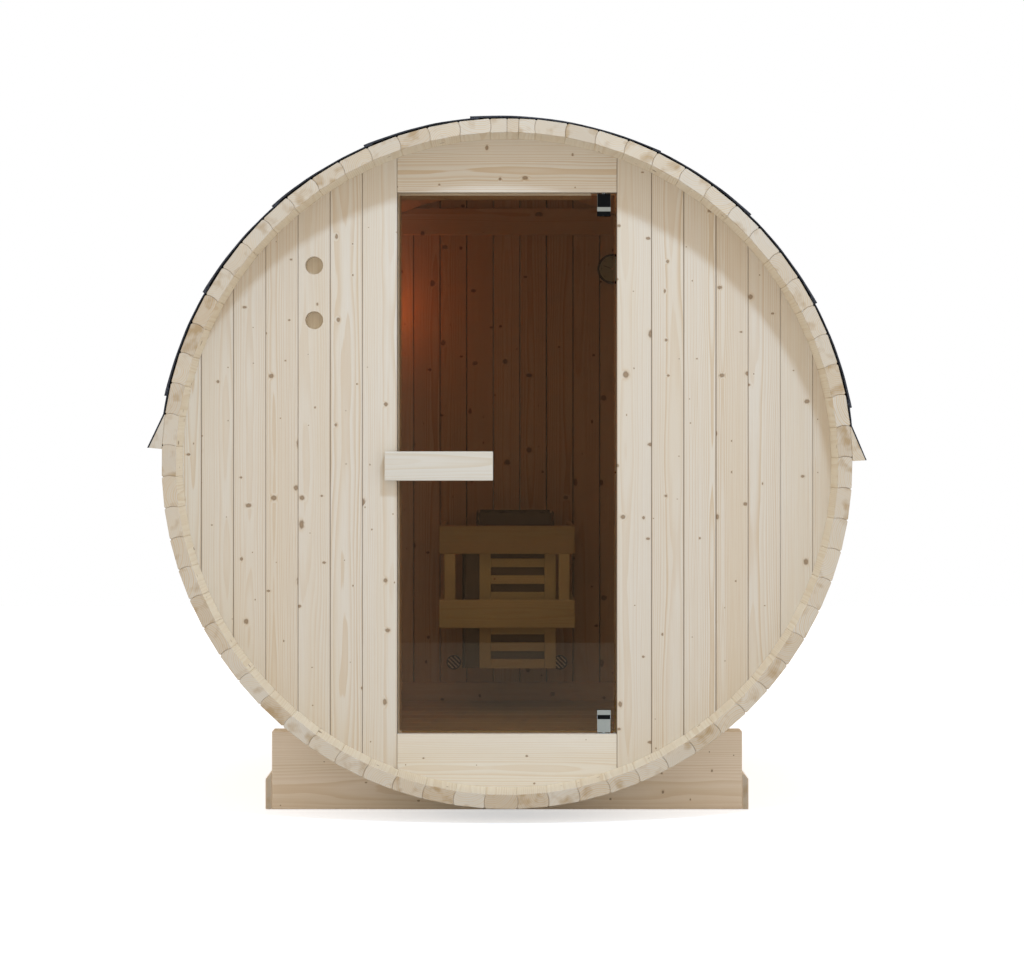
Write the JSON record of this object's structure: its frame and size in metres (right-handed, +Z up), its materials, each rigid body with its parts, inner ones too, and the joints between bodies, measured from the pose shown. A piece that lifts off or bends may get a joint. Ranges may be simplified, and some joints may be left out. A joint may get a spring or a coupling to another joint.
{
  "type": "barrel sauna",
  "caption": "Horizontal barrel sauna of beaded timber staves on cradles, with a hinged glass door, duckboard floor, guarded heater and felt roofing.",
  "frame": {"origin": "on the ground, under the middle of the barrel's length and width", "axes": "+Z up, +Y along the barrel away from the door, +X to the right as seen facing the door"},
  "size_m": [2.0336, 1.6, 2.0066],
  "materials": {
    "stave_spruce": "planed bare spruce, greyer end grain",
    "wall_spruce": "planed bare spruce with small knots",
    "floor_spruce": "planed bare spruce",
    "cradle_pine": "sawn pine",
    "handle_spruce": "smooth planed spruce",
    "guard_spruce": "planed bare spruce",
    "roofing_felt": "mineral surfaced bitumen felt",
    "bronze_glass": "toughened bronze tinted glass",
    "hinge_chrome": "polished",
    "stainless_steel": "brushed stainless",
    "heater_steel": "dark heat-resistant paint",
    "heater_stone": "broken olivine stone",
    "dial_metal": "dark rim round a plain dial"
  },
  "bodies": {
    "cabin": {"back_vent_grilles": "stainless_steel", "back_wall_boards": "wall_spruce", "back_wall_cleats": "wall_spruce", "bottom_stave": "stave_spruce", "closing_staves": "stave_spruce", "door_stop_battens": "wall_spruce", "floor_bearers": "floor_spruce", "floor_slats": "floor_spruce", "front_cradle": "cradle_pine", "front_hoop": "stainless_steel", "front_wall_header": "wall_spruce", "front_wall_left_boards": "wall_spruce", "front_wall_right_boards": "wall_spruce", "front_wall_sill": "wall_spruce", "front_wall_vent_board": "wall_spruce", "guard_front_rails": "guard_spruce", "guard_posts": "guard_spruce", "guard_side_rails": "guard_spruce", "heater_casing": "heater_steel", "heater_hangers": "heater_steel", "heater_screen": "guard_spruce", "heater_stones": "heater_stone", "hinge_bushes": "hinge_chrome", "left_eave_batten": "cradle_pine", "left_roof_felt": "roofing_felt", "left_side_rail": "cradle_pine", "left_staves": "stave_spruce", "lower_left_staves": "stave_spruce", "lower_right_staves": "stave_spruce", "rear_cradle": "cradle_pine", "rear_hoop": "stainless_steel", "ridge_felt": "roofing_felt", "right_eave_batten": "cradle_pine", "right_roof_felt": "roofing_felt", "right_side_rail": "cradle_pine", "right_staves": "stave_spruce", "thermometer": "dial_metal", "upper_left_staves": "stave_spruce", "upper_right_staves": "stave_spruce", "vent_shutter": "wall_spruce"},
    "door": {"door_glass": "bronze_glass", "outer_handle": "handle_spruce", "inner_handle": "handle_spruce", "handle_bolts": "stainless_steel", "hinge_clamps": "hinge_chrome"}
  },
  "joints": [
    {"name": "door_swing", "type": "hinge", "parent": "cabin", "child": "door", "pos_m": [0.28, -0.654, 1.02], "axis": [0, 0, 1], "range_deg": [0, 110]}
  ]
}
